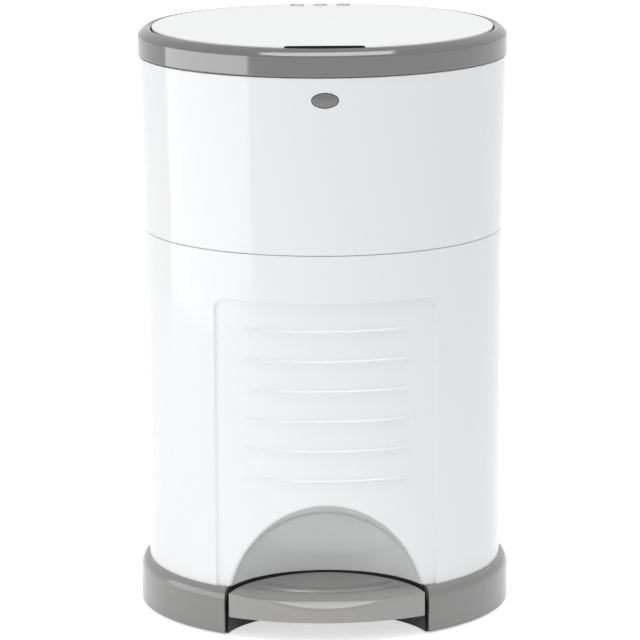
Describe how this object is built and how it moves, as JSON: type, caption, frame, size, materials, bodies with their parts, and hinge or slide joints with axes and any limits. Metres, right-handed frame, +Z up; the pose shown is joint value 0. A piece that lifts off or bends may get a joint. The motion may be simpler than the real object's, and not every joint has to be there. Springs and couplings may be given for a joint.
{
  "type": "nappy bin",
  "caption": "Round white nappy bin with a foot pedal in an arched well, a lift-up lid, trap doors under a funnel and an upper section that tilts back.",
  "frame": {"origin": "on the floor under the middle of the bin's outer box, which is the axis of its round body", "axes": "+Z up, -Y towards the pedal at the front, +X to the right of someone facing the pedal from behind the bin's front, so the pedal's left end is at -X"},
  "size_m": [0.283, 0.286, 0.446],
  "materials": {
    "white_gloss": "glossy white moulded ABS",
    "rim_grey": "smooth mid-grey moulded plastic",
    "base_grey": "smooth light grey moulded plastic",
    "inner_white": "satin off-white polypropylene",
    "inner_grey": "satin grey polypropylene",
    "mechanism_grey": "fine matt grey acetal",
    "black_plastic": "fine matt black polypropylene",
    "rubber": "soft matt black rubber",
    "steel": "bright zinc-plated steel",
    "film": "pleated translucent bag film"
  },
  "bodies": {
    "root": {"base_ring": "base_grey", "base_pan": "black_plastic", "rubber_feet": "rubber", "base_screws": "steel", "pedal_axle": "steel", "lower_shell": "white_gloss", "rod_channel": "inner_white", "channel_screws": "steel", "latch_strike": "inner_white", "hinge_pin": "steel"},
    "pedal_body": {"pedal": "base_grey", "pedal_lever": "steel", "lever_rivets": "steel"},
    "lower_rod": {"lower_push_rod": "mechanism_grey"},
    "upper_section": {"upper_shell": "white_gloss", "rim_ring": "rim_grey", "rim_screws": "steel", "hopper": "inner_white", "hopper_gasket": "rubber", "throat_sleeve": "inner_white", "cassette_tray": "inner_grey", "film_pack": "film", "film_cutter": "mechanism_grey", "cutter_blade": "steel", "hinge_cover": "white_gloss", "lid_hinge_pin": "steel", "upper_rod_guide": "inner_white", "door_springs": "steel", "button_guide": "inner_white", "latch_bracket": "inner_white", "latch_pin": "steel"},
    "upper_rod": {"upper_push_rod": "mechanism_grey", "door_yoke": "mechanism_grey", "yoke_screw": "steel"},
    "lid": {"lid_cover": "white_gloss", "lid_inner": "inner_white", "lid_screws": "steel"},
    "left_door": {"left_trap_door": "inner_grey", "left_door_crank": "mechanism_grey"},
    "right_door": {"right_trap_door": "inner_grey", "right_door_crank": "mechanism_grey"},
    "button": {"release_button": "rim_grey", "button_spring": "steel"},
    "latch": {"latch_lever": "mechanism_grey"}
  },
  "joints": [
    {"name": "lid_open", "type": "hinge", "parent": "upper_section", "child": "lid", "pos_m": [0, 0.1245, 0.439], "axis": [-1, 0, 0], "range_deg": [0, 80]},
    {"name": "pedal_press", "type": "hinge", "parent": "root", "child": "pedal_body", "pos_m": [0, -0.04, 0.02], "axis": [1, 0, 0], "range_deg": [0, 6.25]},
    {"name": "lower_rod_lift", "type": "slide", "parent": "root", "child": "lower_rod", "axis": [0, 0, 1], "range_m": [0, 0.018]},
    {"name": "upper_rod_lift", "type": "slide", "parent": "upper_section", "child": "upper_rod", "axis": [0, 0, 1], "range_m": [0, 0.018]},
    {"name": "left_trap_door_open", "type": "hinge", "parent": "upper_section", "child": "left_door", "pos_m": [-0.077, 0, 0.39], "axis": [0, 1, 0], "range_deg": [0, 62.2]},
    {"name": "right_trap_door_open", "type": "hinge", "parent": "upper_section", "child": "right_door", "pos_m": [0.077, 0, 0.39], "axis": [0, -1, 0], "range_deg": [0, 62.2]},
    {"name": "upper_tilt", "type": "hinge", "parent": "root", "child": "upper_section", "pos_m": [0, 0.1385, 0.292], "axis": [-1, 0, 0], "range_deg": [0, 95]},
    {"name": "button_press", "type": "slide", "parent": "upper_section", "child": "button", "axis": [0, 1, 0], "range_m": [0, 0.003], "stiffness_N_per_m": 400, "springref_m": -0.002},
    {"name": "latch_turn", "type": "hinge", "parent": "upper_section", "child": "latch", "pos_m": [0, -0.126, 0.35], "axis": [-1, 0, 0], "range_deg": [0, 3.1]}
  ],
  "couplings": [
    {"joint": "pedal_press", "follows": "lid_open", "ratio": 0.077687},
    {"joint": "lower_rod_lift", "follows": "lid_open", "m_per_rad": 0.012834},
    {"joint": "upper_rod_lift", "follows": "lid_open", "m_per_rad": 0.012834},
    {"joint": "left_trap_door_open", "follows": "lid_open", "ratio": 0.775},
    {"joint": "right_trap_door_open", "follows": "lid_open", "ratio": 0.775},
    {"joint": "latch_turn", "follows": "button_press", "rad_per_m": 17.37}
  ]
}
